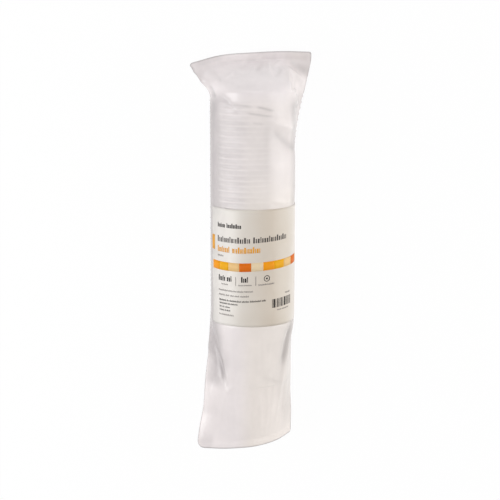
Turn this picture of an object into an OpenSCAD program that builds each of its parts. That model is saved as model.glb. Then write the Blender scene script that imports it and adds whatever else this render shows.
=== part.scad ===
// Sealed sleeve of nested specimen containers, lying as it comes to rest on a table.
// The containers' mouths point to +Y, and the table is the plane Z = 0.

/* [Container] */
// Number of containers nested in the sleeve
container_count = 20; // [12:1:30]
// Height of one container from foot to rim
container_h = 70; // [64:1:80]
// Height of the neck from the collar's underside to the rim, one step of the stack
neck_h = 8; // [7:0.1:9.5]
// Outside diameter of the neck
neck_d = 57; // [50:0.5:64]
// Reach of the collar under the neck, past the neck's wall
collar_w = 2.5; // [1.5:0.1:4.5]
// Thickness of the collar
collar_t = 1; // [0.6:0.1:1.6]
// Thickness of the container's wall
wall = 0.75; // [0.5:0.05:1]
// Clearance round a body in the mouth of the next container
mouth_gap = 0.25; // [0.15:0.05:0.5]
// Clearance between the bodies of two nested containers
nest_gap = 0.13; // [0.1:0.01:0.2]
// Thickness of the container's floor
floor_t = 0.9; // [0.6:0.1:1.5]
// Height of the hollow under the floor
foot_h = 1.4; // [0.8:0.1:2.5]
// Width of the ring that a container stands on
foot_w = 2.6; // [1.5:0.1:4]
// Radius of the round edges at the foot
foot_r = 1.2; // [0.8:0.1:1.4]
// Radius of the round edge of the rim
rim_r = 0.3; // [0.1:0.05:0.35]

/* [Sleeve] */
// Thickness of the film
film_t = 0.3; // [0.2:0.05:0.5]
// Clearance between the collars and the film
film_gap = 0.3; // [0.2:0.05:0.6]
// Clearance round the collars where the film is folded
fold_gap = 0.8; // [0.6:0.05:1.2]
// Radius at which the film turns under the stack onto the table
fall_r = 19; // [14:1:24]
// Length of film from the first rim to the top seal's edge
top_fin = 24; // [20:1:40]
// Length of film from the last foot to the bottom seal's edge
bottom_fin = 50; // [40:1:70]
// Width of each heat seal
seal_w = 6; // [4:0.5:8]
// Length of the fold that runs down the right side from the top seal
right_fold = 46; // [30:1:60]
// Length of the fold that runs down the left side from the top seal
left_fold = 5; // [2:1:12]
// Length of the last body, from its collar, that the film holds on top
top_hold = 2; // [0:0.5:6]
// Length of the last body, from its foot, that the film holds underneath
under_hold = 8; // [4:0.5:16]

/* [Label] */
// Width of the label round the stack
label_w = 102; // [80:1:110]
// Height of the label along the stack
label_h = 88; // [60:1:100]
// Thickness of the label
label_t = 0.15; // [0.1:0.05:0.3]
// Distance from the first rim to the label's top edge
label_drop = 84.5; // [60:0.5:100]
// Arc length from the stack's top line to the label's left edge
label_left = 38.6; // [30:0.2:44]
// Clearance between the label and the film's flat facets
label_gap = 0.15; // [0.12:0.01:0.3]

/* [Detail] */
// Sides of the film's tube
film_sides = 48; // [32:4:56]
// Rings of the film along each stretch
stretch_rings = 8; // [6:1:10]
// Segments of a round edge
$fn = 96; // [48:12:144]

/* [Hidden] */
function container_name(i) = str("container_", i < 10 ? "0" : "", i);

film_colour = [0.92, 0.91, 0.90, 0.55];
label_colour = [0.93, 0.91, 0.88];
container_colour = [0.94, 0.95, 0.96];

// The stack runs down from the first rim at stack_y = 0 to the last foot.
stack_len = container_h + (container_count - 1) * neck_h;
last_collar = -container_count * neck_h;
body_h = container_h - neck_h;
collar_d = neck_d + 2 * collar_w;
// A body fits the mouth that it hangs in, and its slope leaves the wall of the next body its room.
shoulder_d = neck_d - 2 * wall - 2 * mouth_gap;
taper = (wall + nest_gap) / neck_h;
base_d = shoulder_d - 2 * taper * body_h;

// Half of the film's section, from the top line down the side to the bottom line
film_r = collar_d / 2 + film_gap + film_t;
function side_len(r, fall) = r - fall;
function half_len(r, fall) = 90 * r * PI / 180 + side_len(r, fall) + 90 * fall * PI / 180 + r - fall;

// The seals' edges from left to right, as across, along and up, in units of film_r
top_edge = [[-1.45, -0.12, 1.22], [-0.76, -0.02, 0.66], [0, 0.04, 0.24], [0.73, 0.09, 0.06],
    [1.40, 0.08, 0.16]];
bottom_edge = [[-1.33, -0.02, 1.32], [-0.70, 0, 1.46], [0, 0.02, 1.33], [0.57, 0.08, 0.82],
    [0.96, 0.10, 0.10]];
// Arc length from the top line to the film's left fold
left_crease = 1.49 * film_r;
// How soon a fold in the film reaches its full clearance
fold_rate = 5;

top_y = top_fin;
bottom_y = -stack_len - bottom_fin;
top_seal_y = top_y - seal_w;
bottom_seal_y = bottom_y + seal_w;

function clamp(t) = max(0, min(1, t));
function smooth(t) = clamp(t) * clamp(t) * (3 - 2 * clamp(t));
function mix(a, b, t) = a + (b - a) * t;

// A Catmull-Rom curve through the points p at the share t of its length
function curve(p, t) =
    let (n = len(p) - 1, k = min(floor(t * n), n - 1), f = t * n - k,
        b = p[k], c = p[k + 1],
        a = k > 0 ? p[k - 1] : 2 * b - c,
        d = k < n - 1 ? p[k + 2] : 2 * c - b)
    (2 * b + (c - a) * f + (2 * a - 5 * b + 4 * c - d) * f * f + (3 * b - a - 3 * c + d) * f * f * f) / 2;

// The film's section round the stack at arc length s from the top line: across and up
function wrapped(s, r, fall, low) =
    let (a = abs(s), quarter = 90 * r * PI / 180, side = quarter + side_len(r, fall),
        turn = side + 90 * fall * PI / 180, round_t = (a - side) / fall * 180 / PI,
        p = a <= quarter ? [r * sin(a / r * 180 / PI), r + r * cos(a / r * 180 / PI)]
            : a <= side ? [r, r - (a - quarter)]
            : a <= turn ? [r - fall + fall * cos(round_t), fall - fall * sin(round_t)]
            : [r - fall - (a - turn), 0])
    [s < 0 ? -p[0] : p[0], p[1] + low];

// How far from the fold at u a point lies, as a share of the section
function from_fold(u, fold) = let (d = abs(u - fold)) min(d, 1 - d);
// Where the top and bottom ends begin to flatten, at the share u round the section
function top_start(u) =
    -right_fold * clamp(1 - from_fold(u, 0.5) / 0.11) - left_fold * clamp(1 - from_fold(u, 0) / 0.10);
function bottom_start(u) =
    -stack_len + mix(body_h - top_hold, under_hold, smooth(1.6 * clamp(1 - from_fold(u, 0.75) / 0.25)));

// The radius that the stack needs at y, with the film's own thickness left out
function stack_r(y) =
    y > 0 || y < -stack_len ? 0
    : y >= last_collar ? collar_d / 2
    : shoulder_d / 2 - taper * (last_collar - y);

// A point of the film at the share u round its section and at y along the stack.
// inset is 0 on the outside and film_t on the inside.
function film_point(u, y, inset) =
    let (r = film_r - inset, fall = fall_r - inset, half = half_len(r, fall),
        s0 = -left_crease / half_len(film_r, fall_r) * half + u * 2 * half,
        s = s0 > half ? s0 - 2 * half : s0,
        b = wrapped(s, r, fall, inset),
        h = u <= 0.5 ? 2 * u : 2 - 2 * u,
        e = mix(inset > 0 ? 0.01 : 0, inset > 0 ? 0.99 : 1, h),
        lift = (u > 0 && h > 0 && h < 1) ? (u < 0.5 ? 1 : -1) * (film_t - 0.85 * inset) : 0,
        t = edge_point(top_edge, e, lift),
        g = edge_point(bottom_edge, e, lift),
        wt = let (q = clamp((y - top_start(u)) / (top_seal_y - top_start(u)))) q * q * (2 - q),
        wb = pow(clamp((bottom_start(u) - y) / (bottom_start(u) - bottom_seal_y)), 1.3),
        x = b[0] + wt * (t[0] - b[0]) + wb * (g[0] - b[0]),
        z = b[1] + wt * (t[2] - b[1]) + wb * (g[2] - b[1]),
        gap = film_gap + (wt > 0 ? fold_gap - film_gap : 0) * clamp(fold_rate * wt),
        need = stack_r(y) > 0 ? stack_r(y) + gap + film_t - inset : 0,
        out = norm([x, z - film_r]),
        push = out < need ? need / out : 1)
    [x * push, y + wt * t[1] + wb * g[1], film_r + (z - film_r) * push];

// A point on a seal's edge, moved by lift square to it
function edge_point(edge, t, lift) =
    let (p = curve(edge, t) * film_r, q = (curve(edge, min(1, t + 0.01)) - curve(edge, max(0, t - 0.01))),
        l = norm([q[0], q[2]]))
    [p[0] - lift * q[2] / l, p[1], p[2] + film_t + lift * q[0] / l];

// The places of the film's rings along the stack, from the bottom seal to the top one
function spread(a, b, n) = [for (i = [1 : n]) mix(a, b, i / n)];
inner_rings = concat([bottom_seal_y], spread(bottom_seal_y, -stack_len, stretch_rings),
    spread(-stack_len, last_collar, stretch_rings), spread(last_collar, -right_fold, stretch_rings - 2),
    spread(-right_fold, 0, stretch_rings), spread(0, top_seal_y, stretch_rings));
outer_rings = concat([bottom_y], inner_rings, [top_y]);

// A closed tube of rings, each flat end closed across from one sheet to the other
module tube(rings, inset) {
    n = film_sides;
    m = len(rings);
    points = [for (y = rings) for (i = [0 : n - 1]) film_point(i / n, y, inset)];
    sides = [for (j = [0 : m - 2]) for (i = [0 : n - 1])
        let (a = j * n + i, b = j * n + (i + 1) % n) each [[a, b + n, b], [a, a + n, b + n]]];
    function lid(o, i) = let (a = o + i, b = o + i + 1, c = o + n - i - 1, d = o + (n - i) % n)
        i == 0 ? [[a, b, c]] : i == n / 2 - 1 ? [[a, b, d]] : [[a, b, c], [a, c, d]];
    low = [for (i = [0 : n / 2 - 1]) each lid(0, i)];
    high = [for (i = [0 : n / 2 - 1]) for (f = lid((m - 1) * n, i)) [f[0], f[2], f[1]]];
    polyhedron(points, concat(sides, low, high));
}

// The film's reach across at its two top corners, and along from one seal's edge to the other
reach_x = [for (i = [0, film_sides / 2]) film_point(i / film_sides, top_y, 0)[0]];
reach_y = [for (y = [bottom_y, top_y]) for (i = [0 : film_sides - 1]) film_point(i / film_sides, y, 0)[1]];

// Centres the whole part over the table
module placed() {
    translate([-(reach_x[0] + reach_x[1]) / 2, -(min(reach_y) + max(reach_y)) / 2, 0]) children();
}

// The clear tube of film, with the hollow that the stack lies in
module film_sleeve() {
    color(film_colour) placed() difference() {
        tube(outer_rings, 0);
        tube(inner_rings, film_t);
    }
}

// The paper label, wrapped round the front of the sleeve
module label() {
    columns = 28;
    rows = 10;
    half = half_len(film_r, fall_r);
    function spot(i, j, off) = film_point((left_crease - label_left + label_w * i / columns) / 2 / half,
        -label_drop - label_h * j / rows, -off);
    n = columns + 1;
    m = rows + 1;
    face = n * m;
    points = [for (off = [label_gap, label_gap + label_t]) for (j = [0 : rows]) for (i = [0 : columns])
        spot(i, j, off)];
    function quad(a, b, c, d) = [[a, b, c], [a, c, d]];
    sheets = [for (j = [0 : rows - 1]) for (i = [0 : columns - 1]) let (a = j * n + i)
        each concat(quad(a, a + n, a + n + 1, a + 1),
            quad(face + a, face + a + 1, face + a + n + 1, face + a + n))];
    ends = [for (j = [0 : rows - 1]) let (a = j * n, b = a + columns)
        each concat(quad(a, face + a, face + a + n, a + n), quad(b, b + n, face + b + n, face + b))];
    edges = [for (i = [0 : columns - 1]) let (a = i, b = rows * n + i)
        each concat(quad(a, a + 1, face + a + 1, face + a), quad(b, face + b, face + b + 1, b + 1))];
    color(label_colour) placed() polyhedron(points, concat(sheets, ends, edges));
}

// One container's wall as a closed outline of radius and height
module container_profile() {
    foot = base_d / 2;
    inside = foot - wall;
    neck = neck_d / 2;
    shoulder = shoulder_d / 2;
    polygon([
        [0, foot_h], [foot - foot_w - foot_h, foot_h], [foot - foot_w, 0], [foot - foot_r, 0],
        for (a = [15 : 15 : 75]) [foot - foot_r + foot_r * sin(a), foot_r - foot_r * cos(a)],
        [foot + taper * foot_r, foot_r],
        [shoulder, body_h], [collar_d / 2, body_h], [collar_d / 2, body_h + collar_t],
        [neck, body_h + collar_t], [neck, container_h - rim_r], [neck - rim_r, container_h],
        [neck - wall + rim_r, container_h], [neck - wall, container_h - rim_r],
        [neck - wall, body_h + collar_t], [shoulder - wall, body_h],
        [inside + taper * (floor_t + foot_r), floor_t + foot_r],
        [inside - foot_r * 0.3, floor_t + foot_r * 0.3], [inside - foot_r, floor_t],
        [foot - foot_w, floor_t], [foot - foot_w - foot_h, foot_h + floor_t], [0, foot_h + floor_t]
    ]);
}

// One container, with its rim at the place i in the stack
module container(i) {
    color(container_colour) placed()
        translate([0, -(i - 1) * neck_h - container_h, film_r])
            rotate([-90, 0, 0]) rotate_extrude() container_profile();
}

film_sleeve();
label();
for (i = [1 : container_count]) container(i);
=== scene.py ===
"""A sealed sleeve of nested specimen containers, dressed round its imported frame.

The film, its folds, the containers' necks and the label's print are modelled here in
millimetres, measured from the stack's first rim, and placed in the row frame.
"""

import logging
import math
from dataclasses import dataclass, field
from enum import Enum
from typing import Callable, Iterable

import bmesh
import bpy
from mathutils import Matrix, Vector, noise

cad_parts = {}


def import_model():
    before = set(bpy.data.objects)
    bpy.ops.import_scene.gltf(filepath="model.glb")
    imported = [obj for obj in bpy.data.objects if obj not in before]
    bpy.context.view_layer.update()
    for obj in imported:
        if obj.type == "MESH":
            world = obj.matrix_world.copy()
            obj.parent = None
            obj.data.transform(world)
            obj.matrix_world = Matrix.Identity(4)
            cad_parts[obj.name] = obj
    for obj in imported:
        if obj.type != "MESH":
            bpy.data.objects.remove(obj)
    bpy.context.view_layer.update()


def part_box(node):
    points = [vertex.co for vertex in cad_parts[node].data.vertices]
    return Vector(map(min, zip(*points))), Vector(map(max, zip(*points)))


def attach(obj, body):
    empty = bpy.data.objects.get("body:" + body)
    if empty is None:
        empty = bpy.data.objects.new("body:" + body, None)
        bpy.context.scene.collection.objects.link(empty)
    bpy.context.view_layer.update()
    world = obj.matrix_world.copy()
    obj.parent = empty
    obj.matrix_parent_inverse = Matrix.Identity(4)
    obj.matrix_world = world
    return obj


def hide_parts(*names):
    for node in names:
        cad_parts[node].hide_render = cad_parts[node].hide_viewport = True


Colour = tuple[float, float, float, float]
Edge = tuple[tuple[float, float, float], ...]
Material = bpy.types.Material
Node = bpy.types.Node
Socket = bpy.types.NodeSocket
Tree = bpy.types.NodeTree
BMesh = bmesh.types.BMesh

LOG = logging.getLogger("specimen_sleeve")
MM = 0.001
MILK = "milk"
# Vertex attribute: the film's grey, mostly shade painted into its colour.
GREY_AND_PAINTED_SHADE = "grey_and_painted_shade"
# Vertex attribute: warm light painted into the film's colour, low on its right.
PAINTED_WARM_LIGHT = "painted_warm_light"


class Ink(Enum):
    """The inks that the label is printed with, as linear colours."""

    BLACK = (0.016, 0.014, 0.013)
    SOFT_BLACK = (0.075, 0.065, 0.06)
    GREY = (0.27, 0.24, 0.23)
    OCHRE = (0.82, 0.37, 0.035)
    ORANGE = (0.90, 0.33, 0.004)
    YELLOW = (0.88, 0.42, 0.006)
    DEEP = (0.72, 0.15, 0.003)
    SAND = (0.84, 0.55, 0.24)
    CREAM = (0.80, 0.64, 0.42)


def clamp(value: float) -> float:
    """Returns value held between 0 and 1."""
    return max(0.0, min(1.0, value))


def smooth(value: float) -> float:
    """Returns value, held between 0 and 1, eased at both ends."""
    held = clamp(value)
    return held * held * (3 - 2 * held)


def mix(low: float, high: float, share: float) -> float:
    """Returns the number at that share of the way from low to high."""
    return low + (high - low) * share


def fade(place: float, start: float, length: float) -> float:
    """Returns how far a change from 0 to 1 has come, which starts there and may run backwards."""
    return smooth((place - start) / length)


def bell(off: float, width: float) -> float:
    """Returns 1 where off is 0, falling away to both sides over about that width."""
    return math.exp(-((off / width) ** 2))


def curve(points: list[Vector], share: float) -> Vector:
    """Follows a Catmull-Rom curve.

    Args:
        points: The points that the curve passes through.
        share: How far along the curve, from 0 to 1.

    Returns:
        The point there.
    """
    spans = len(points) - 1
    k = min(int(share * spans), spans - 1)
    f = share * spans - k
    b, c = points[k], points[k + 1]
    a = points[k - 1] if k > 0 else 2 * b - c
    d = points[k + 2] if k < spans - 1 else 2 * c - b
    cubic = (2 * b + (c - a) * f + (2 * a - 5 * b + 4 * c - d) * f * f
             + (3 * b - a - 3 * c + d) * f * f * f)
    return cubic / 2


@dataclass(frozen=True)
class Crease:
    """A fold line in the film's upper side, between two places seen from above, in millimetres."""

    start: tuple[float, float]
    end: tuple[float, float]
    height: float
    width: float
    # Shade painted into the film's colour along the fold; a negative value paints light.
    grey: float = 0.0

    def nearness(self, across: float, along: float) -> float:
        """Says how near the fold a place lies.

        Args:
            across: Millimetres to the right of the stack's axis.
            along: Millimetres along the stack from its first rim.

        Returns:
            1 on the fold, falling to 0 away from it.
        """
        dx, dy = self.end[0] - self.start[0], self.end[1] - self.start[1]
        px, py = across - self.start[0], along - self.start[1]
        length = math.hypot(dx, dy)
        t = (px * dx + py * dy) / (length * length)
        past, ease = 0.15, 0.4
        if t < -past or t > 1 + past:
            return 0.0
        off = abs(px * dy - py * dx) / length
        ends = fade(t, -past, ease) * fade(t, 1 + past, -ease)
        return ends * math.exp(-((off / self.width) ** 1.6))


@dataclass(frozen=True)
class FilmSpot:
    """A place on the film, in millimetres.

    It knows its share round the section, how far along the stack it lies from the first rim, its
    point from the stack's axis and the table, and how far it has turned to each seal.
    """

    share: float
    along: float
    point: Vector
    to_top: float
    to_bottom: float

    def near_fold(self) -> float:
        """Returns how far round the section the nearest fold lies, as a share."""
        return min(self.share, 1 - self.share, abs(self.share - 0.5))


@dataclass
class FilmShape:
    """The film's surface, close to how the source of the solids lays it out, in millimetres."""

    collar_radius: float = 31.0
    gap: float = 0.3
    fold_gap: float = 0.8
    thickness: float = 0.3
    fall: float = 19.0
    top_fin: float = 24.0
    bottom_fin: float = 50.0
    seal: float = 6.0
    seam: float = 0.06
    right_fold: float = 46.0
    left_fold: float = 5.0
    stack_length: float = 222.0
    last_collar: float = -160.0
    body_height: float = 62.0
    shoulder_radius: float = 27.5
    taper: float = 0.11
    corners: tuple[float, float, float, float] = (1.2, 1.2, 5.0, 2.0)
    top_edge: Edge = ((-1.45, -0.12, 1.22), (-0.76, 0.03, 0.66), (0, 0.07, 0.24), (0.73, 0.09, 0.06),
                      (1.40, 0.08, 0.16))
    bottom_edge: Edge = ((-1.33, -0.02, 1.32), (-0.70, 0, 1.46), (0, 0, 1.33), (0.57, -0.01, 0.82),
                         (0.96, -0.01, 0.10))

    def __post_init__(self) -> None:
        """Works out what follows from the sizes."""
        self.radius = self.collar_radius + self.gap + self.thickness
        self.left_crease = 1.49 * self.radius
        self.top = self.top_fin
        self.bottom = -self.stack_length - self.bottom_fin
        self.top_seal = self.top - self.seal
        self.bottom_seal = self.bottom + self.seal
        self.top_points = [Vector(point) for point in self.top_edge]
        self.bottom_points = [Vector(point) for point in self.bottom_edge]

    def half_girth(self) -> float:
        """Returns half the film's girth, from the top line to the bottom line."""
        quarter = math.pi / 2 * self.radius
        return quarter + 2 * (self.radius - self.fall) + math.pi / 2 * self.fall

    def wrapped(self, arc: float) -> tuple[float, float]:
        """Finds a point of the section round the stack.

        Args:
            arc: Millimetres round the section from the top line, positive to the right.

        Returns:
            The point, across and up.
        """
        r, fall, a = self.radius, self.fall, abs(arc)
        side = math.pi / 2 * r
        turn = side + r - fall
        floor = turn + math.pi / 2 * fall
        if a <= side:
            x, z = r * math.sin(a / r), r + r * math.cos(a / r)
        elif a <= turn:
            x, z = r, r - (a - side)
        elif a <= floor:
            angle = (a - turn) / fall
            x, z = r - fall + fall * math.cos(angle), fall - fall * math.sin(angle)
        else:
            x, z = r - fall - (a - floor), 0.0
        return (-x if arc < 0 else x), z

    def edge_point(self, edge: list[Vector], share: float, lift: float) -> Vector:
        """Finds a point of a seal's edge.

        Args:
            edge: The edge's points, as shares of the radius.
            share: The share from its left end to its right end.
            lift: Millimetres that the point is moved square to the edge.

        Returns:
            The point, in millimetres.
        """
        p = curve(edge, share) * self.radius
        step = curve(edge, min(1, share + 0.01)) - curve(edge, max(0, share - 0.01))
        length = math.hypot(step.x, step.z)
        ripple = 0.5 * noise.noise(Vector((share * 7, edge[0].z, 0.5)))
        return Vector((p.x - lift * step.z / length, p.y,
                       p.z + self.thickness + lift * step.x / length + ripple))

    def top_start(self, share: float) -> float:
        """Returns how far along the top end begins to flatten, at that share round."""
        right = clamp(1 - abs(share - 0.5) / 0.11)
        left = clamp(1 - min(share, 1 - share) / 0.10)
        return -self.right_fold * right - self.left_fold * left

    def bottom_start(self, share: float) -> float:
        """Returns how far along the bottom end begins to flatten, at that share round."""
        under = clamp(1 - abs(share - 0.75) / 0.25)
        return -self.stack_length + mix(self.body_height - 2, 8, smooth(1.6 * under))

    def stack_radius(self, along: float) -> float:
        """Finds the radius that the containers fill.

        Args:
            along: Millimetres along the stack from its first rim.

        Returns:
            The radius in millimetres, 0 beyond the stack.
        """
        if along > 0 or along < -self.stack_length:
            return 0.0
        if along >= self.last_collar:
            return self.collar_radius
        return self.shoulder_radius - self.taper * (self.last_collar - along)

    def blends(self, share: float, along: float) -> tuple[float, float]:
        """Says how far the film has turned to its seals.

        Args:
            share: The share round the section.
            along: Millimetres along the stack from its first rim.

        Returns:
            The shares of the top seal and of the bottom seal.
        """
        start = self.top_start(share)
        q = clamp((along - start) / (self.top_seal - start))
        begin = self.bottom_start(share)
        low = clamp((begin - along) / (begin - self.bottom_seal))
        return q * q * (2 - q), low ** 1.3

    def rounded(self, across: float, along: float) -> float:
        """Draws a place along the stack in where a seal's corner is round.

        Args:
            across: The share from the seal's left end to its right end.
            along: Millimetres along the stack from its first rim.

        Returns:
            The place drawn in, in millimetres.
        """
        ends = ((self.top, -1, self.corners[:2]), (self.bottom, 1, self.corners[2:]))
        for end, way, (left, right) in ends:
            depth = (along - end) * way
            radius = left if across < 0.5 else right
            from_corner = min(across, 1 - across) * 2.4 * self.radius
            if depth < self.seal and from_corner < radius:
                draw = radius - math.sqrt(radius ** 2 - (radius - from_corner) ** 2)
                return end + way * mix(draw, self.seal, depth / self.seal)
        return along

    def point(self, share: float, along: float) -> Vector:
        """Finds a point of the film's outer surface.

        Args:
            share: The share round the section, 0 and 0.5 at the two creases.
            along: Millimetres along the stack from its first rim.

        Returns:
            The point in millimetres, from the stack's axis, its first rim and the table.
        """
        half = self.half_girth()
        arc = -self.left_crease + share * 2 * half
        if arc > half:
            arc -= 2 * half
        bx, bz = self.wrapped(arc)
        across = 2 * share if share <= 0.5 else 2 - 2 * share
        lift = 0.0
        if 0 < across < 1 and self.bottom < along < self.top:
            lift = self.seam if share < 0.5 else -self.seam
        along = self.rounded(across, along)
        t = self.edge_point(self.top_points, across, lift)
        g = self.edge_point(self.bottom_points, across, lift)
        wt, wb = self.blends(share, along)
        x = bx + wt * (t.x - bx) + wb * (g.x - bx)
        z = bz + wt * (t.z - bz) + wb * (g.z - bz)
        gap = self.gap + (self.fold_gap - self.gap) * (clamp(5 * wt) if wt > 0 else 0)
        need = self.stack_radius(along)
        if need > 0:
            need += gap + self.thickness
        out = math.hypot(x, z - self.radius)
        push = need / out if 0 < out < need else 1.0
        return Vector((x * push, along + wt * t.y + wb * g.y,
                       self.radius + (z - self.radius) * push))

    def outward(self, share: float, along: float) -> Vector:
        """Finds the direction in which the film's outer surface looks.

        Args:
            share: The share round the section.
            along: Millimetres along the stack from its first rim.

        Returns:
            The direction, of length 1.
        """
        beside, beyond, edge, least = 0.002, 0.5, 0.01, 1e-9
        side = self.point((share + beside) % 1.0, along) - self.point((share - beside) % 1.0, along)
        far = self.point(share, min(along + beyond, self.top - edge))
        near = self.point(share, max(along - beyond, self.bottom + edge))
        normal = side.cross(far - near)
        return normal.normalized() if normal.length > least else Vector((0, 0, 1))

    def spot_at(self, share: float, along: float) -> FilmSpot:
        """Returns the place on the film at that share round and that far along."""
        return FilmSpot(share, along, self.point(share, along), *self.blends(share, along))

    def share_at(self, arc: float) -> float:
        """Returns the share round the section at that arc from the top line."""
        return (self.left_crease + arc) / (2 * self.half_girth())


@dataclass
class Placement:
    """Where the stack's first rim and axis lie in the row frame."""

    axis_x: float
    rim_y: float

    @classmethod
    def from_frame(cls) -> "Placement":
        """Reads the first container's place from the frame."""
        low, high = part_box("container_01")
        return cls((low.x + high.x) / 2, high.y)

    def put(self, p: Vector) -> Vector:
        """Returns a point in millimetres from the stack as metres in the row frame."""
        return Vector((self.axis_x + p.x * MM, self.rim_y + p.y * MM, p.z * MM))


def mesh_of(name: str, bm: BMesh) -> bpy.types.Mesh:
    """Returns a new mesh with what the bmesh holds, which is freed."""
    mesh = bpy.data.meshes.new(name)
    bm.to_mesh(mesh)
    bm.free()
    return mesh


def in_scene(name: str, data: bpy.types.ID) -> bpy.types.Object:
    """Returns a new object in the scene, with that mesh, lamp or camera."""
    thing = bpy.data.objects.new(name, data)
    bpy.context.scene.collection.objects.link(thing)
    return thing


def finished(name: str, bm: BMesh, material: Material) -> bpy.types.Object:
    """Turns a bmesh into a smooth piece that rides on the part.

    Args:
        name: The piece's name.
        bm: Its mesh, in metres in the row frame. It is freed.
        material: Its finish.

    Returns:
        The new object.
    """
    mesh = mesh_of(name, bm)
    mesh.shade_smooth()
    mesh.materials.append(material)
    piece = in_scene(name, mesh)
    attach(piece, "root")
    LOG.info("%s: %d faces", name, len(mesh.polygons))
    return piece


def add_node(tree: Tree, kind: str,
             inputs: dict[str | int, object] | None = None, **settings: object) -> Node:
    """Adds a node to a tree.

    Args:
        tree: The tree that gets it.
        kind: The node's type.
        inputs: What goes into its sockets, by name or number: another socket, or a value.
        settings: The node's own settings.

    Returns:
        The new node.
    """
    node = tree.nodes.new(kind)
    for name, value in settings.items():
        setattr(node, name, value)
    for name, value in (inputs or {}).items():
        if isinstance(value, Socket):
            tree.links.new(value, node.inputs[name])
        else:
            node.inputs[name].default_value = value
    return node


def new_material(name: str) -> tuple[Material, Tree, Node]:
    """Returns a new node material, its tree and its Principled shader."""
    material = bpy.data.materials.new(name)
    material.use_nodes = True
    return material, material.node_tree, material.node_tree.nodes["Principled BSDF"]


def set_surface(tree: Tree, shader: Node) -> None:
    """Makes the shader the material's surface."""
    tree.links.new(shader.outputs[0], tree.nodes["Material Output"].inputs["Surface"])


def blended(tree: Tree, share: float | Socket, first: Node, second: Node) -> Node:
    """Returns a mix of two shaders, with that share of the second."""
    shaders = {"Fac": share, 1: first.outputs[0], 2: second.outputs[0]}
    return add_node(tree, "ShaderNodeMixShader", shaders)


def add_noise(tree: Tree, scale: float, detail: float,
              stretch: tuple[float, float, float] = (1, 1, 1)) -> Socket:
    """Adds a noise on Object coordinates.

    Args:
        tree: The material's tree.
        scale: The noise's scale, in cells a metre.
        detail: The noise's detail.
        stretch: The mapping's scale on each axis.

    Returns:
        The noise's factor.
    """
    where = add_node(tree, "ShaderNodeTexCoord")
    mapping = add_node(tree, "ShaderNodeMapping", {"Vector": where.outputs["Object"], "Scale": stretch})
    pattern = add_node(tree, "ShaderNodeTexNoise",
                       {"Vector": mapping.outputs["Vector"], "Scale": scale, "Detail": detail})
    return pattern.outputs["Fac"]


def remap(tree: Tree, value: Socket, low: float, high: float) -> Socket:
    """Returns value, from 0.3 to 0.7, spread from low to high."""
    node = add_node(tree, "ShaderNodeMapRange", {
        "Value": value, "From Min": 0.3, "From Max": 0.7, "To Min": low, "To Max": high})
    return node.outputs["Result"]


def add_bump(tree: Tree, shader: Node, height: Socket, strength: float, distance: float) -> None:
    """Feeds a bump of that height into the shader's normal."""
    bump = add_node(tree, "ShaderNodeBump", {"Height": height, "Strength": strength, "Distance": distance})
    tree.links.new(bump.outputs["Normal"], shader.inputs["Normal"])


def roughen(tree: Tree, shader: Node, scale: float, low: float, high: float) -> None:
    """Feeds a noise of that scale, from low to high, into the shader's roughness."""
    rough = remap(tree, add_noise(tree, scale, 2), low, high)
    tree.links.new(rough, shader.inputs["Roughness"])


@dataclass(frozen=True)
class MilkyFilm:
    """Thin milky polyethylene, whiter where it stands off the stack, with shade painted into its folds and
    down its sides and warm light painted low on its right.
    """

    pale: Colour = (0.985, 0.92, 0.92, 1)
    # The darkest colour of the shade painted into the film's folds, grooves and sides.
    shade_colour: Colour = (0.56, 0.52, 0.525, 1)
    # The colour of the warm light painted low on the film's right.
    warm_light: Colour = (1, 0.99, 0.93, 1)
    through: Colour = (0.96, 0.92, 0.92, 1)
    share_through: float = 0.10
    specular: float = 0.4
    cloud: float = 0.04

    def haze(self, tree: Tree) -> Socket:
        """Makes the film milky by its mesh and a soft noise.

        Args:
            tree: The material's tree.

        Returns:
            The share of light that doesn't pass straight through.
        """
        milk = add_node(tree, "ShaderNodeAttribute", attribute_name=MILK)
        clouds = remap(tree, add_noise(tree, 30, 3), -self.cloud, self.cloud)
        total = add_node(tree, "ShaderNodeMath", {0: milk.outputs["Fac"], 1: clouds},
                         operation="ADD", use_clamp=True)
        return total.outputs["Value"]

    def tint(self, tree: Tree) -> Socket:
        """Paints shade into the film's colour in its folds, grooves and down its sides, and warm light low
        on its right.

        Args:
            tree: The material's tree.

        Returns:
            The film's colour, with its painted shade and painted warm light.
        """
        grey = add_node(tree, "ShaderNodeAttribute", attribute_name=GREY_AND_PAINTED_SHADE)
        painted_warm_light = add_node(tree, "ShaderNodeAttribute", attribute_name=PAINTED_WARM_LIGHT)
        ramp = add_node(tree, "ShaderNodeValToRGB", {"Fac": grey.outputs["Fac"]})
        ramp.color_ramp.elements[0].color = self.pale
        ramp.color_ramp.elements[1].color = self.shade_colour
        # Multiplies the painted warm light into the film's colour.
        warm_lit = add_node(tree, "ShaderNodeMix", data_type="RGBA", blend_type="MULTIPLY")
        factor, under, over = (next(s for s in warm_lit.inputs if s.enabled and s.name == name)
                               for name in ("Factor", "A", "B"))
        over.default_value = self.warm_light
        tree.links.new(painted_warm_light.outputs["Fac"], factor)
        tree.links.new(ramp.outputs["Color"], under)
        return next(s for s in warm_lit.outputs if s.enabled)

    def make(self) -> Material:
        """Builds the material."""
        material, tree, shader = new_material("milky_film")
        tree.links.new(self.tint(tree), shader.inputs["Base Color"])
        shader.inputs["Specular IOR Level"].default_value = self.specular
        roughen(tree, shader, 60, 0.16, 0.26)
        add_bump(tree, shader, add_noise(tree, 70, 3, (1, 0.5, 1)), 0.25, 0.0012)
        glow = add_node(tree, "ShaderNodeBsdfTranslucent", {"Color": self.through})
        clear = add_node(tree, "ShaderNodeBsdfTransparent")
        body = blended(tree, self.share_through, shader, glow)
        set_surface(tree, blended(tree, self.haze(tree), clear, body))
        return material


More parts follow.
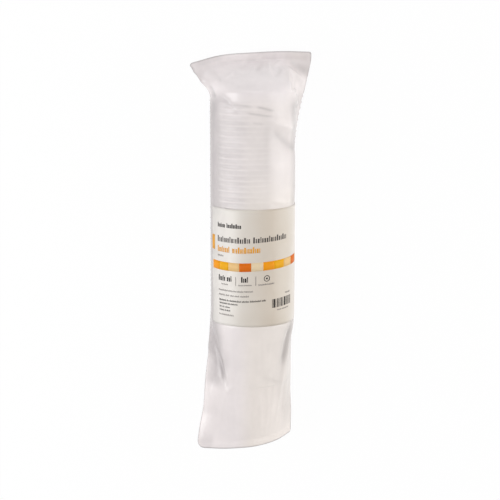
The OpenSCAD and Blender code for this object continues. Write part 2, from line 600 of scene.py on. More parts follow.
@dataclass(frozen=True)
class FrostedPlastic:
    """Frosted translucent polypropylene of the containers."""

    colour: Colour = (0.955, 0.955, 0.945, 1)
    through: Colour = (0.96, 0.96, 0.95, 1)
    share_through: float = 0.12
    roughness: float = 0.34

    def make(self) -> Material:
        """Builds the material."""
        material, tree, shader = new_material("frosted_plastic")
        shader.inputs["Base Color"].default_value = self.colour
        roughen(tree, shader, 300, self.roughness - 0.06, self.roughness + 0.08)
        add_bump(tree, shader, add_noise(tree, 900, 2), 0.12, 0.0004)
        glow = add_node(tree, "ShaderNodeBsdfTranslucent", {"Color": self.through})
        set_surface(tree, blended(tree, self.share_through, shader, glow))
        return material


@dataclass(frozen=True)
class LabelPaper:
    """Smooth off-white label paper of a warm tone, with shade and light painted across it: darkest at its
    left edge and right of its middle, lighter between them and at its right edge.
    """

    place: Placement
    # The paper's colour at millimetres across the sleeve: a warm paper tone with painted shade and light.
    shaded_tones: tuple[tuple[float, tuple[float, float, float]], ...] = (
        (-32, (0.50, 0.48, 0.46)), (-28, (0.67, 0.64, 0.61)), (-24, (0.77, 0.735, 0.70)),
        (-14, (0.72, 0.68, 0.63)), (0, (0.67, 0.61, 0.54)), (15, (0.61, 0.53, 0.44)),
        (24, (0.68, 0.61, 0.525)), (32, (0.75, 0.695, 0.635)))
    wander: float = 0.002
    roughness: float = 0.38

    def painted_shade_tone(self, tree: Tree) -> Socket:
        """Paints shade and light into the paper's colour by the place across the sleeve.

        Args:
            tree: The material's tree.

        Returns:
            The paper's colour, with its painted shade and light.
        """
        where = add_node(tree, "ShaderNodeTexCoord")
        split = add_node(tree, "ShaderNodeSeparateXYZ", {"Vector": where.outputs["Object"]})
        drift = remap(tree, add_noise(tree, 60, 4), -self.wander, self.wander)
        moved = add_node(tree, "ShaderNodeMath", {0: split.outputs["X"], 1: drift}, operation="ADD")
        first, last = self.shaded_tones[0][0], self.shaded_tones[-1][0]
        spread = add_node(tree, "ShaderNodeMapRange", {
            "Value": moved.outputs["Value"], "From Min": self.place.axis_x + first * MM,
            "From Max": self.place.axis_x + last * MM})
        ramp = add_node(tree, "ShaderNodeValToRGB", {"Fac": spread.outputs["Result"]})
        points = ramp.color_ramp.elements
        while len(points) < len(self.shaded_tones):
            points.new(0.5)
        for point, (across, painted_shade_tone) in zip(points, self.shaded_tones):
            point.position = (across - first) / (last - first)
            point.color = (*painted_shade_tone, 1)
        return ramp.outputs["Color"]

    def make(self) -> Material:
        """Builds the material."""
        material, tree, shader = new_material("label_paper")
        tree.links.new(self.painted_shade_tone(tree), shader.inputs["Base Color"])
        roughen(tree, shader, 400, self.roughness - 0.06, self.roughness + 0.06)
        add_bump(tree, shader, add_noise(tree, 1600, 3), 0.15, 0.0002)
        return material


@dataclass(frozen=True)
class PrintedInk:
    """A layer of ink on the label."""

    ink: Ink
    worn: float = 0.93
    roughness: float = 0.5
    specular: float = 0.2

    def make(self) -> Material:
        """Builds the material."""
        material, tree, shader = new_material(f"ink_{self.ink.name.lower()}")
        ramp = add_node(tree, "ShaderNodeValToRGB", {"Fac": add_noise(tree, 700, 3)})
        ramp.color_ramp.elements[0].color = (*(c * self.worn for c in self.ink.value), 1)
        ramp.color_ramp.elements[1].color = (*self.ink.value, 1)
        tree.links.new(ramp.outputs["Color"], shader.inputs["Base Color"])
        shader.inputs["Roughness"].default_value = self.roughness
        shader.inputs["Specular IOR Level"].default_value = self.specular
        return material


@dataclass
class FilmSleeve:
    """The film, with its seals, its folds and the collars that show through it."""

    shape: FilmShape
    place: Placement
    sides: int = 200
    rings: int = 478
    step: float = 8.0
    collar_middle: float = -7.5
    collar_half: float = 1.0
    collar_rise: float = 1.3
    collar_width: float = 0.10
    thread_rise: float = 1.2
    thread_width: float = 0.09
    underside: float = 0.74
    draw_in: float = 0.6
    ripple: float = 0.8
    wave: float = 0.16
    seal_lines: tuple[float, float] = (1.6, 3.2)
    line_rise: float = 0.12
    line_width: float = 0.35
    under_paper: float = 0.12
    neck_room: float = 1.2
    room: float = 0.15
    tight_milk: float = 0.79
    top_milk: float = 0.97
    low_milk: float = 0.95
    body_grey: float = 0.11
    top_grey: float = 0.16
    # Shade painted into the film's colour: in the grooves between collars, down its left and right sides,
    # along the seal rims and in the folds by the seals.
    groove_shade: float = 0.18
    left_side_shade: float = 0.92
    right_side_shade: float = 0.58
    rim_shade: float = 0.75
    rim_width: float = 0.7
    fold_shade: float = 0.55
    fold_width: float = 1.1
    left_narrowing: float = 0.06
    right_narrowing: float = 0.045
    slant: float = 0.05
    creases: list[Crease] = field(default_factory=list)
    # Patches of shade painted on the film; negative ones paint light.
    shade_patches: list[Crease] = field(default_factory=list)

    def phase(self, along: float) -> float:
        """Returns where a place lies between two collars, from -0.5 to 0.5 and 0 on a collar."""
        return ((along - self.collar_middle) / self.step + 0.5) % 1.0 - 0.5

    def groove(self, at: FilmSpot) -> float:
        """Says how deep the film lies between two ridges of the stack.

        Args:
            at: The place on the film.

        Returns:
            The depth, from about -0.4 on a ridge to 1.
        """
        if not self.shape.last_collar < at.along < 0:
            return 0.0
        across = at.point.x
        depth = fade(abs(at.share - self.underside), 0.11, 0.06) * fade(at.along, -4, -4)
        if at.share < 0.5:
            depth *= mix(0.35, 1, fade(across, 1, -11)) * fade(across, 15, -6)
            depth *= fade(across, -27, 8)
        depth *= 1.0 + 0.7 * noise.noise(Vector((at.share * 9, at.along / 7, 5.5)))
        phase = self.phase(at.along)
        collar = bell(phase, self.collar_width)
        thread = bell(0.5 - abs(phase), self.thread_width)
        return depth * (1 - self.collar_rise * collar - self.thread_rise * thread)

    def milk(self, at: FilmSpot) -> float:
        """Says how milky the film is: less where it lies tight on the stack.

        Args:
            at: The place on the film.

        Returns:
            Its share of light that doesn't pass straight through.
        """
        across = at.point.x
        tight = self.tight_milk + 0.10 * fade(across, -14, 10) + 0.06 * fade(across, 10, 6)
        tight += 0.18 * fade(across, -24, -4)
        top, low = fade(at.along, -22, 14), fade(at.along, -150, -22)
        return mix(mix(tight, self.top_milk, top), self.low_milk, low)

    def grey_and_painted_shade(self, at: FilmSpot) -> float:
        """Says how much shade is painted into the film's colour, with a little random grey: most in its
        folds, at its rims and down its sides.

        Args:
            at: The place on the film.

        Returns:
            The greyness, from 0 to 1.
        """
        spot, along, turned = at.point, at.along, max(at.to_top, at.to_bottom)
        height = spot.z - self.shape.radius
        # Painted shade between the collars, painted light on them.
        total = mix(self.body_grey, self.top_grey, fade(along, 0, 8)) + self.groove_shade * self.groove(at)
        if at.share < 0.5:
            # Painted shade along the creases and patches; negative values paint light.
            painted_marks = sum(c.grey * c.nearness(spot.x, spot.y) for c in self.creases + self.shade_patches)
            total += painted_marks * mix(0.2, 1, max(turned, fade(height, 0, 9)))
        # Painted shade down the film's left and right sides over the stack.
        body = fade(along, 2, -14) * fade(along, -206, 14) * mix(0.45, 1, fade(height, -6, 16))
        total += self.left_side_shade * body * fade(spot.x, -21, -9)
        total += self.right_side_shade * body * fade(spot.x, 26, 6)
        total += (mix(0.05, 0.10, at.to_top) * noise.noise(spot / 8)
                  + mix(0.03, 0.07, at.to_top) * noise.noise(spot / 3))
        # Painted shade along the seal rims and in the folds by the seals.
        rim = min(abs(along - self.shape.top), abs(along - self.shape.bottom))
        fold = at.near_fold() * 2 * self.shape.half_girth()
        total += (self.rim_shade * bell(rim, self.rim_width)
                  + self.fold_shade * turned ** 2 * bell(fold, self.fold_width))
        return clamp(total)

    @staticmethod
    def painted_warm_light(at: FilmSpot) -> float:
        """Says how much warm light is painted into the film's colour: most low down on its right.

        Args:
            at: The place on the film.

        Returns:
            The painted warm light, from 0 to 1.
        """
        top = fade(at.along, 4, -16)
        run = 0.45 * top + 0.55 * fade(at.along, -50, -40)
        run += 0.30 * fade(at.point.x, 20, 12) * (1 - top)
        return run * mix(0.1, 1, fade(at.point.x, -14, 16))

    def narrowing(self, at: FilmSpot) -> float:
        """Says how much narrower the film lies than its plain surface, beside its last container.

        Args:
            at: The place on the film.

        Returns:
            The share of its width that is drawn in.
        """
        end = fade(at.along, -258, 30)
        if at.point.x > 0:
            return self.right_narrowing * end * fade(at.along, -176, -16)
        slant = self.slant * fade(at.along, self.shape.top, -6) * fade(at.along, 6, 10)
        return slant + self.left_narrowing * end * fade(at.along, -190, -14)

    def gathers(self, at: FilmSpot) -> float:
        """Shapes the long wrinkles that run from each seal towards the stack.

        Args:
            at: The place on the film.

        Returns:
            Millimetres outwards.
        """
        top = 4 * at.to_top * (1 - at.to_top)
        low = 4 * at.to_bottom * (1 - at.to_bottom)
        if top <= 0.001 and low <= 0.001:
            return 0.0
        arc = at.share * (self.shape.half_girth() * 2)
        fine = noise.noise(Vector((arc / 8, at.along / 46, 3.1)))
        broad = noise.noise(Vector((arc / 21, at.along / 50, 7.7)))
        ridge = (0.4 - abs(fine)) * 0.8 + broad * 1.5
        return self.ripple * ridge * (0.9 * top + 0.8 * low)

    def relief(self, at: FilmSpot) -> float:
        """Says how far the film stands off its plain surface.

        Args:
            at: The place on the film.

        Returns:
            Millimetres outwards.
        """
        still = (1 - at.to_top ** 8) * (1 - at.to_bottom ** 8)
        total = self.gathers(at) - self.draw_in * self.groove(at)
        if at.share < 0.5:
            total += still * sum(c.height * c.nearness(at.point.x, at.point.y) for c in self.creases)
        arc = at.share * (self.shape.half_girth() * 2)
        total += self.wave * noise.noise(Vector((arc / 17, at.along / 26, 1.3))) * still
        inside = fade(at.near_fold(), 0, 0.01)
        for end, way in ((self.shape.top, -1), (self.shape.bottom, 1)):
            for line in self.seal_lines:
                total += self.line_rise * inside * bell((at.along - end) * way - line, self.line_width)
        return min(total, -self.under_paper) if self.under_label(at) else total

    def clear_of_stack(self, spot: Vector, along: float) -> Vector:
        """Pushes a point of the film out to where the containers leave it room.

        Args:
            spot: The point, in millimetres from the stack's axis and the table.
            along: Millimetres along the stack from its first rim.

        Returns:
            The point, moved if it was too near.
        """
        shape = self.shape
        need = shape.stack_radius(along)
        if need <= 0:
            return spot
        if along >= shape.last_collar and abs(self.phase(along)) * self.step > self.collar_half:
            need -= self.neck_room
        out = math.hypot(spot.x, spot.z - shape.radius)
        if out >= need + self.room or out == 0:
            return spot
        push = (need + self.room) / out
        return Vector((spot.x * push, spot.y, shape.radius + (spot.z - shape.radius) * push))

    def under_label(self, at: FilmSpot) -> bool:
        """Says whether the label lies on the film there, or within a millimetre."""
        label = WrapLabel(self.shape, self.place)
        left = self.shape.share_at(-label.left - 1)
        right = self.shape.share_at(label.width - label.left + 1)
        return left < at.share < right and -label.drop - label.height - 1 < at.along < -label.drop + 1

    def build(self, material: Material) -> None:
        """Builds the closed film, in place of its plain solid.

        Args:
            material: The film's material.
        """
        shape = self.shape
        bm = bmesh.new()
        milk, grey, warm_light = (bm.verts.layers.float.new(name) for name in (MILK, GREY_AND_PAINTED_SHADE, PAINTED_WARM_LIGHT))
        bmesh.ops.create_grid(bm, x_segments=self.sides, y_segments=self.rings, size=0.5)
        for v in bm.verts:
            along = mix(shape.bottom, shape.top, clamp(v.co.y + 0.5))
            at = shape.spot_at((v.co.x + 0.5) % 1.0, along)
            # Each vertex keeps its milk, its grey with painted shade, and its painted warm light.
            v[milk], v[grey], v[warm_light] = self.milk(at), self.grey_and_painted_shade(at), self.painted_warm_light(at)
            moved = at.point + shape.outward(at.share, along) * self.relief(at)
            moved.x *= 1 - self.narrowing(at)
            moved = self.clear_of_stack(moved, along)
            moved.z = max(moved.z, 0.0)
            v.co = self.place.put(moved)
        bmesh.ops.remove_doubles(bm, verts=bm.verts, dist=2e-6)
        bmesh.ops.recalc_face_normals(bm, faces=bm.faces)
        film = finished("film", bm, material)
        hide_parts("film_sleeve")


@dataclass
class WrapLabel:
    """The paper label, with print that is only bars, bands and a ring."""

    shape: FilmShape
    place: Placement
    width: float = 102.0
    height: float = 88.0
    drop: float = 84.5
    left: float = 38.6
    gap: float = 0.06
    thickness: float = 0.15
    corner: float = 1.5
    ink_rise: float = 0.03
    ink_thickness: float = 0.02
    climb: float = 0.062
    climb_from: float = 30.0
    columns: int = 102
    rows: int = 44
    ring_sides: int = 32
    ink_column: float = 1.5
    ink_row: float = 4.0
    fields: int = 11
    field: float = 8.9

    def spot(self, across: float, down: float, rise: float) -> Vector:
        """Finds a point on the label.

        Args:
            across: Millimetres from the label's left edge.
            down: Millimetres from its top edge.
            rise: Millimetres off the film.

        Returns:
            The point in the row frame, in metres.
        """
        share = self.shape.share_at(across - self.left)
        along = -self.drop - down
        return self.place.put(self.shape.point(share, along) + self.shape.outward(share, along) * rise)

    def paper(self, material: Material) -> None:
        """Builds the sheet with its round corners, in place of the label's plain solid.

        Args:
            material: The paper.
        """
        bm = bmesh.new()
        bmesh.ops.create_grid(bm, x_segments=self.columns, y_segments=self.rows, size=0.5)
        for v in bm.verts:
            across, down = (v.co.x + 0.5) * self.width, (0.5 - v.co.y) * self.height
            v.co = self.spot(*self.rounded(across, down), self.gap)
        self.thicken(bm, self.thickness)
        piece = finished("label_paper", bm, material)
        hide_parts("label")

    def rounded(self, across: float, down: float) -> tuple[float, float]:
        """Draws a place on the label in where a corner is round.

        Args:
            across: Millimetres from the label's left edge.
            down: Millimetres from its top edge.

        Returns:
            The place, across and down.
        """
        r = self.corner
        dx = max(r - across, across - (self.width - r), 0)
        dy = max(r - down, down - (self.height - r), 0)
        if dx <= 0 or dy <= 0:
            return across, down
        scale = max(dx, dy) / math.hypot(dx, dy)
        cx = r if across < r else self.width - r
        cy = r if down < r else self.height - r
        return cx + (across - cx) * scale, cy + (down - cy) * scale

    def thicken(self, bm: BMesh, thickness: float) -> None:
        """Gives a sheet its thickness, outwards from the stack.

        Args:
            bm: The sheet, in the row frame.
            thickness: Its thickness in millimetres.
        """
        bmesh.ops.recalc_face_normals(bm, faces=bm.faces)
        axis = self.place.put(Vector((0, 0, self.shape.radius)))
        face = max(bm.faces, key=lambda f: f.calc_area())
        middle = face.calc_center_median()
        out = Vector((middle.x - axis.x, 0, middle.z - axis.z))
        if face.normal.dot(out) < 0:
            bmesh.ops.reverse_faces(bm, faces=bm.faces)
        bmesh.ops.solidify(bm, geom=bm.faces[:], thickness=-thickness * MM)
        bmesh.ops.recalc_face_normals(bm, faces=bm.faces)

    def ink_spot(self, across: float, down: float) -> Vector:
        """Finds a point of the print, which climbs a little to the right."""
        climbed = down - self.climb * max(0.0, across - self.climb_from)
        return self.spot(across, climbed, self.gap + self.thickness + self.ink_rise)

    def bar(self, bm: BMesh, left: float, top: float, width: float, height: float) -> None:
        """Adds a bar of ink.

        Args:
            bm: The mesh of the ink.
            left: Millimetres from the label's left edge.
            top: Millimetres from its top edge.
            width: The bar's width.
            height: The bar's height.
        """
        columns = max(1, math.ceil(width / self.ink_column))
        rows = max(1, math.ceil(height / self.ink_row))
        made = bmesh.ops.create_grid(bm, x_segments=columns, y_segments=rows, size=0.5)
        for v in made["verts"]:
            v.co = self.ink_spot(left + (v.co.x + 0.5) * width, top + (0.5 - v.co.y) * height)

    def ring(self, bm: BMesh, middle: tuple[float, float], outer: float, inner: float) -> None:
        """Adds a ring of ink.

        Args:
            bm: The mesh of the ink.
            middle: Its middle, across and down on the label.
            outer: Its outer radius.
            inner: Its inner radius.
        """
        made = bmesh.ops.create_grid(bm, x_segments=self.ring_sides, y_segments=1, size=0.5)
        for v in made["verts"]:
            angle = (v.co.x + 0.5) * 2 * math.pi
            r = mix(inner, outer, v.co.y + 0.5)
            v.co = self.ink_spot(middle[0] + r * math.cos(angle), middle[1] + r * math.sin(angle))

    def ink_piece(self, name: str, ink: Ink, draw: Callable[[BMesh], None]) -> None:
        """Builds one ink's layer.

        Args:
            name: The piece's name.
            ink: Its ink.
            draw: What adds the print to its mesh.
        """
        bm = bmesh.new()
        draw(bm)
        bmesh.ops.remove_doubles(bm, verts=bm.verts, dist=1e-6)
        self.thicken(bm, self.ink_thickness)
        finished(name, bm, PrintedInk(ink).make())

    def words(self, bm: BMesh, left: float, base: float, height: float,
              lengths: Iterable[float], space: float = 0.21) -> None:
        """Adds a line of words, each a row of plain blocks with uneven tops.

        Args:
            bm: The mesh of the ink.
            left: Where the line starts.
            base: How far down the blocks stand.
            height: The height of a low block.
            lengths: How long each word is. A space follows it.
            space: The space between two blocks, as a share of their height.
        """
        widths = (0.36, 0.24, 0.42, 0.20, 0.30, 0.38)
        tall = (1.38, 1, 1, 1.32, 1, 1, 1, 1.38, 1, 1, 1)
        count = 0
        for length in lengths:
            end = left + length
            while left < end - 0.2 * height:
                width = min(widths[count % len(widths)] * height, end - left)
                top = height * tall[count % len(tall)]
                self.bar(bm, left, base - top, width, top)
                left += width + space * height
                count += 1
            left = end + 0.5 * height

    def lines(self, bm: BMesh, rows: Iterable[tuple]) -> None:
        """Adds a line of words for each row of what words takes."""
        for row in rows:
            self.words(bm, *row)

    def draw_black(self, bm: BMesh) -> None:
        """Draws what is printed in black."""
        self.lines(bm, (
            (9.0, 14.2, 2.5, (8.0, 12.0), 0.13), (9.9, 54.3, 3.1, (6.9, 5.0), 0.16),
            (30.1, 54.3, 3.1, (5.9,), 0.14), (10.4, 69.5, 1.05, (7.2, 2.0, 9.4, 5.6, 8.2, 3.4)),
            (10.9, 71.9, 0.95, (7.5, 2.2, 6.0)), (10.9, 74.5, 0.95, (2.6, 2.2, 4.6)),
            (10.9, 77.0, 0.95, (4.6, 1.4, 3.6))))
        for outer, inner in ((2.35, 1.8), (0.75, 0.05)):
            self.ring(bm, (49.3, 52.4), outer, inner)

    def draw_heading(self, bm: BMesh) -> None:
        """Draws the large dark words."""
        self.lines(bm, ((8.9, 25.1, 3.2, (28.2,)), (39.1, 25.2, 3.2, (27.5,))))

    def draw_grey(self, bm: BMesh) -> None:
        """Draws the small lines in grey, and the thin dividers."""
        self.lines(bm, (
            (9.0, 36.1, 1.1, (6.4,)), (13.0, 57.2, 0.75, (2.4, 3.4)), (27.9, 57.0, 0.75, (4.2, 5.4)),
            (42.9, 57.3, 0.9, (6.4, 5.6)), (9.8, 61.9, 0.95, (9.2, 6.8, 5.4, 6.2)),
            (10.1, 65.5, 0.95, (6.6, 3.6, 3.2, 4.0, 6.4)), (10.4, 80.4, 0.95, (1.8, 11.6)),
            (66.0, 66.6, 0.9, (2.6, 3.0)), (58.0, 78.0, 0.8, (4.0, 3.6, 3.4))))
        for across in (25.7, 40.75):
            self.bar(bm, across, 50.1, 0.4, 7.0)

    def draw_bars(self, bm: BMesh) -> None:
        """Draws a block of upright bars."""
        left, right = 53.5, 72.6
        widths = (0.45, 1.5, 0.5, 0.95, 0.5, 0.45, 0.9)
        spaces = (0.6, 0.5, 0.95, 0.5, 0.7)
        count = 0
        while left < right:
            width = widths[count % len(widths)]
            self.bar(bm, left, 68.9, width, 6.6)
            left += width + spaces[count % len(spaces)]
            count += 1

    def draw_band(self, bm: BMesh, places: Iterable[int]) -> None:
        """Draws fields of the band of even colour fields, counted from its left end."""
        for place in places:
            self.bar(bm, 2 + place * self.field, 39.9, self.field, 6.4)

    def build(self, paper: Material) -> None:
        """Builds the paper and every ink on it."""
        self.paper(paper)
        self.ink_piece("print_black", Ink.BLACK, self.draw_black)
        self.ink_piece("print_heading", Ink.SOFT_BLACK, self.draw_heading)
        self.ink_piece("print_grey", Ink.GREY, self.draw_grey)
        self.ink_piece("print_bars", Ink.BLACK, self.draw_bars)
        self.ink_piece("print_ochre", Ink.OCHRE, lambda bm: (
            self.bar(bm, 0.3, 21.0, 4.4, 11.0),
            self.words(bm, 8.9, 32.6, 3.3, (12.6, 21.6), 0.15)))
        inks = (Ink.ORANGE, Ink.YELLOW, Ink.SAND, Ink.DEEP, Ink.CREAM)
        for count, ink in enumerate(inks):
            places = range(count, self.fields, len(inks))
            self.ink_piece(f"band_{ink.name.lower()}", ink, lambda bm, p=places: self.draw_band(bm, p))


@dataclass
class NestedContainer:
    """One container, spun from its wall's outline, with the thread round its neck."""

    place: Placement
    shape: FilmShape
    height: float = 70.0
    neck: float = 8.0
    neck_radius: float = 28.5
    collar_thickness: float = 1.0
    foot_radius: float = 20.68
    wall: float = 0.75
    floor: float = 0.9
    foot_height: float = 1.4
    foot_width: float = 2.6
    foot_round: float = 1.2
    rim_round: float = 0.3
    segments: int = 120
    thread_rise: float = 1.0
    thread_turns: float = 1.6
    thread_pitch: float = 3.0
    thread_start: float = 0.5
    thread_sink: float = 0.05
    thread_steps: int = 72
    turn: float = 137.5
    sharp_angle: float = 35.0

    def outline(self) -> list[tuple[float, float]]:
        """Draws the wall's closed outline.

        Returns:
            Its points, as radius and height in millimetres.
        """
        foot, fr, neck = self.foot_radius, self.foot_round, self.neck_radius
        shoulder, collar = self.shape.shoulder_radius, self.shape.collar_radius
        body = self.height - self.neck
        ledge = body + self.collar_thickness
        taper = (shoulder - foot) / body
        inside, bore, ring = foot - self.wall, neck - self.wall, foot - self.foot_width
        lip, floor, raised = self.rim_round, self.floor, self.foot_height
        base = [(0, raised), (ring - raised, raised), (ring, 0), (foot - fr, 0)]
        turn = [(foot - fr + fr * math.sin(a), fr - fr * math.cos(a))
                for a in (math.radians(d) for d in (15, 30, 45, 60, 75))]
        outer = [(foot + taper * fr, fr), (shoulder, body), (collar, body), (collar, ledge),
                 (neck, ledge), (neck, self.height - lip)]
        rim = [(neck - lip, self.height), (bore + lip, self.height), (bore, self.height - lip)]
        inner = [(bore, ledge), (shoulder - self.wall, body),
                 (inside + taper * (floor + fr), floor + fr), (inside - fr * 0.3, floor + fr * 0.3),
                 (inside - fr, floor), (ring, floor), (ring - raised, raised + floor),
                 (0, raised + floor)]
        return base + turn + outer + rim + inner

    def body_mesh(self) -> BMesh:
        """Spins the outline round the stack's axis.

        Returns:
            The body's mesh in millimetres, with its foot at the origin.
        """
        bm = bmesh.new()
        points = [bm.verts.new((r, h, 0)) for r, h in self.outline()]
        edges = [bm.edges.new((a, b)) for a, b in zip(points, points[1:])]
        bmesh.ops.spin(bm, geom=points + edges, cent=(0, 0, 0), axis=(0, 1, 0), dvec=(0, 0, 0),
                       angle=2 * math.pi, steps=self.segments, use_merge=True, use_duplicate=False)
        bmesh.ops.remove_doubles(bm, verts=bm.verts, dist=1e-5)
        bmesh.ops.recalc_face_normals(bm, faces=bm.faces)
        return bm

    def thread_mesh(self) -> BMesh:
        """Sweeps the thread's ridge up and round the neck.

        Returns:
            The thread's mesh, in the body's place.
        """
        bm = bmesh.new()
        r, rise = self.neck_radius - self.thread_sink, self.thread_rise
        start = self.height - self.neck + self.collar_thickness + self.thread_start
        section = [(r, 0.0), (r + rise, 0.35), (r + rise, 0.75), (r, 1.1)]
        points = [bm.verts.new((x, start + h, 0)) for x, h in section]
        edges = [bm.edges.new((points[k], points[(k + 1) % 4])) for k in range(4)]
        face = bm.faces.new(points)
        steps = int(self.thread_steps * self.thread_turns)
        lift = self.thread_pitch * self.thread_turns / steps
        bmesh.ops.spin(bm, geom=points + edges + [face], cent=(0, 0, 0), axis=(0, -1, 0),
                       dvec=(0, lift, 0), angle=2 * math.pi * self.thread_turns, steps=steps,
                       use_duplicate=False)
        bmesh.ops.recalc_face_normals(bm, faces=bm.faces)
        return bm

    def build(self, number: int, material: Material) -> None:
        """Builds one container of the stack, each turned on its own axis.

        Args:
            number: Its place in the stack, 1 at the first rim.
            material: Its plastic.
        """
        foot = -(number - 1) * self.neck - self.height
        turn = math.radians(self.turn * number)
        for kind, bm in (("container", self.body_mesh()), ("thread", self.thread_mesh())):
            for v in bm.verts:
                x = v.co.x * math.cos(turn) - v.co.z * math.sin(turn)
                z = v.co.x * math.sin(turn) + v.co.z * math.cos(turn)
                v.co = self.place.put(Vector((x, foot + v.co.y, self.shape.radius + z)))
            piece = finished(f"{kind}_piece_{number:02d}", bm, material)
            piece.data.set_sharp_from_angle(angle=math.radians(self.sharp_angle))
            if kind == "container":
                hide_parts(f"container_{number:02d}")


@dataclass
class Studio:
    """The floor, the lamps, the world and the camera."""

    shape: FilmShape
    place: Placement
    distance: float = 1.10
    lean: float = 11.8
    tilt: float = 11.15
    across: float = -1.9
    millimetres_a_pixel: float = 0.756
    middle_along: float = -133.0
    picture: int = 500
    sensor: float = 36.0
    floor_half: float = 3.0
    floor_drop: float = 0.0004
    floor_colour: Colour = (0.92, 0.92, 0.92, 1)
    floor_roughness: float = 0.9
    floor_white: float = 0.97
    horizon_fill: float = 0.85
    zenith_fill: float = 0.42
    left_flag: float = 0.25
    right_watts: float = 2.85
    left_watts: float = 4.0
    far_watts: float = 2.4

    @staticmethod
    def seen(tree: Tree) -> Socket:
        """Tells rays that show the background from rays that light the part.

        Args:
            tree: The tree that gets the nodes.

        Returns:
            What is 1 for a ray from the camera, a gloss or a glass, and 0 for the rest.
        """
        path = add_node(tree, "ShaderNodeLightPath")
        total = path.outputs["Is Camera Ray"]
        for name in ("Is Glossy Ray", "Is Transmission Ray"):
            larger = add_node(tree, "ShaderNodeMath", {0: total, 1: path.outputs[name]},
                              operation="MAXIMUM")
            total = larger.outputs["Value"]
        return total

    def floor(self) -> None:
        """Lays a white floor that keeps a faint shadow."""
        bm = bmesh.new()
        bmesh.ops.create_grid(bm, x_segments=1, y_segments=1, size=self.floor_half)
        ground = in_scene("floor", mesh_of("floor", bm))
        ground.location.z = -self.floor_drop
        material, tree, shader = new_material("white_floor")
        shader.inputs["Base Color"].default_value = self.floor_colour
        shader.inputs["Roughness"].default_value = self.floor_roughness
        white = add_node(tree, "ShaderNodeEmission", {"Strength": 1.0})
        share = add_node(tree, "ShaderNodeMath", {0: self.seen(tree), 1: self.floor_white},
                         operation="MULTIPLY")
        set_surface(tree, blended(tree, share.outputs["Value"], shader, white))
        ground.data.materials.append(material)

    def lamp(self, name: str, at: Vector, aim: Vector, size: float, watts: float) -> None:
        """Hangs one square soft lamp.

        Args:
            name: Its name.
            at: Its place.
            aim: What it looks at.
            size: Its side in metres.
            watts: Its power.
        """
        data = bpy.data.lights.new(name, "AREA")
        data.size = size
        data.energy = watts
        lamp = in_scene(name, data)
        lamp.location = at
        lamp.rotation_euler = (aim - at).to_track_quat("-Z", "Y").to_euler()

    def light(self) -> None:
        """Lights the part softly from both sides, before a white world."""
        aim = self.place.put(Vector((0, self.middle_along, self.shape.radius)))
        self.lamp("right_softbox", aim + Vector((0.76, -0.02, 0.30)), aim, 0.70, self.right_watts)
        self.lamp("left_softbox", aim + Vector((-0.70, -0.02, 0.46)), aim, 0.50, self.left_watts)
        self.lamp("far_softbox", aim + Vector((0.10, 1.15, 0.30)), aim, 0.60, self.far_watts)
        world = bpy.data.worlds.new("studio")
        world.use_nodes = True
        tree = world.node_tree
        background = tree.nodes["Background"]
        background.inputs["Color"].default_value = (1, 1, 1, 1)
        where = add_node(tree, "ShaderNodeTexCoord")
        split = add_node(tree, "ShaderNodeSeparateXYZ", {"Vector": where.outputs["Generated"]})
        fill = add_node(tree, "ShaderNodeMapRange", {
            "Value": split.outputs["Z"], "To Min": self.horizon_fill, "To Max": self.zenith_fill})
        flag = add_node(tree, "ShaderNodeMapRange", {
            "Value": split.outputs["X"], "From Min": -1.0, "From Max": -0.2, "To Min": self.left_flag,
            "To Max": 1.0})
        shaded = add_node(tree, "ShaderNodeMath", {0: fill.outputs["Result"], 1: flag.outputs["Result"]},
                          operation="MULTIPLY")
        strength = add_node(tree, "ShaderNodeMix", {
            "Factor": self.seen(tree), "A": shaded.outputs["Value"], "B": 1.0})
        tree.links.new(strength.outputs["Result"], background.inputs["Strength"])
        bpy.context.scene.world = world

    def camera(self) -> None:
        """Looks down on the front of the sleeve, as the photograph does."""
        lean = math.radians(self.lean)
        towards = Vector((0, math.sin(lean), math.cos(lean)))
        middle = self.place.put(Vector((self.across, self.middle_along, self.shape.radius)))
        data = bpy.data.cameras.new("camera")
        data.sensor_width = self.sensor
        data.lens = self.sensor * self.distance / (self.picture * self.millimetres_a_pixel * MM)
        camera = in_scene("camera", data)
        camera.location = middle + towards * self.distance
        camera.rotation_euler = (-math.radians(self.tilt), 0, 0)
        bpy.context.scene.camera = camera

    def build(self) -> None:
        """Builds the whole studio."""
        self.floor()
        self.light()
        self.camera()
        bpy.context.scene.view_settings.view_transform = "Standard"


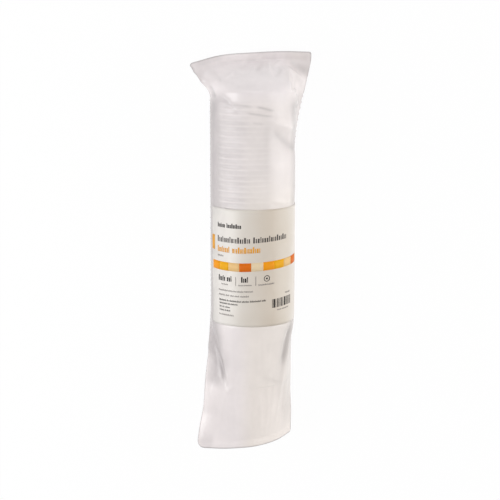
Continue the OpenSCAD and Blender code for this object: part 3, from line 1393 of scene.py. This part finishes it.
def film_creases() -> list[Crease]:
    """Returns the folds that show on the sleeve's upper side, chosen one by one."""
    # Columns: start x, start y, end x, end y, height, width, and the shade painted along the fold
    # (negative paints light).
    rows = (
        (-32, -176, -21.5, -219, -2, 1.9, 0.64), (-35, -196, -34, -240, 1.6, 5, 0),
        (-21, -226, -14, -219, 0.5, 2.4, 0), (28, -176, 23.5, -208, -1.3, 1.6, 0.4),
        (9.6, -213, 26.5, -223, 0.9, 3.6, 0.10), (12, -19, 29, -27, 2.6, 4, -0.14),
        (15, -28, 32, -44, -0.6, 2.4, 0.38), (21, -48, 22, -80, 1.2, 8, -0.14),
        (14, -79, 27, -81, 0.7, 1.8, -0.14), (24, 16, 39, 4.5, 2, 2.4, -0.14),
        (27, 20, 41, 10, -1.2, 2.6, 0.22), (-26, 1, -11, -11, 0.9, 2, 0.10),
        (-22, -5, -10, -15, -0.6, 1.8, 0.12), (31, -2, 33, -12, 1, 1.8, -0.14),
        (12, 20, 13, 12, 0.9, 1.3, -0.14), (16, 16, 23, 21, 0.8, 1.3, -0.14),
        (-9, 19, -4, 21, 0.8, 1.2, -0.14), (2, 21, 7, 23, 0.7, 1.2, -0.14),
        (-14, 14, -20, 9, 0.6, 1.3, -0.12), (2, 14, 8, 19, -0.7, 1.5, 0.18),
        (-10, 16, -2, 19, -0.6, 1.3, 0.14), (16, 10, 21, 15, -0.7, 1.5, 0.16),
        (-30, 14, -22, 8, -0.7, 1.8, 0.16), (-31.5, 4, -27.5, -4, -0.8, 1.6, 0.45))
    return [Crease((x, y), (to_x, to_y), height, width, grey)
            for x, y, to_x, to_y, height, width, grey in rows]


def film_shade_patches() -> list[Crease]:
    """Returns the patches of shade painted into the film's colour, some where it lies double or close;
    those with a negative value paint light.
    """
    rows = (
        (-27, -178, -24, -206, 6.5, 0.38), (28.5, -172, 28.5, -206, 4.4, 0.52),
        (3, -9.4, 15, -12.5, 0.8, 0.62), (-4, -14, 14, -16.5, 0.7, 0.55),
        (-16, -7.5, 0, -9.4, 0.8, 0.30), (0, -21, 8, -22, 0.6, 0.25), (10, -24, 10, -58, 2.6, 0.10),
        (34, 19, 41, 13, 6, 0.14), (-43, 20, -22, 23, 3.4, 0.24), (34, -2, 35, -14, 4, 0.12),
        (-30, -2, -15, -6, 4, 0.18), (-29, -236, -31, -258, 7, 0.10), (-28, -4, -17, -10, 5, 0.26),
        (-40, 8, -30, 4, 6, 0.14), (25, 12, 35, 8, 6, 0.24), (29, -8, 31, -18, 4, 0.16),
        (-40, -265, -30, -267, 6, 0.26), (-28, -200, -30, -222, 6, 0.70),
        (28, -190, 27, -262, 7, 0.50), (-12, -24, -12, -84, 8, -0.11), (4, -60, 14, -84, 7, -0.11),
        (-8, -200, -8, -262, 8, -0.08))
    return [Crease((x, y), (to_x, to_y), 0, width, grey)
            for x, y, to_x, to_y, width, grey in rows]


def main() -> None:
    """Builds every piece in order."""
    logging.basicConfig(level=logging.INFO, format="%(message)s")
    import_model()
    place = Placement.from_frame()
    shape = FilmShape()
    Studio(shape, place).build()
    sleeve = FilmSleeve(shape, place, creases=film_creases(), shade_patches=film_shade_patches())
    sleeve.build(MilkyFilm().make())
    WrapLabel(shape, place).build(LabelPaper(place).make())
    plastic = FrostedPlastic().make()
    for number in range(1, 21):
        NestedContainer(place, shape).build(number, plastic)


if __name__ == "__main__":
    main()
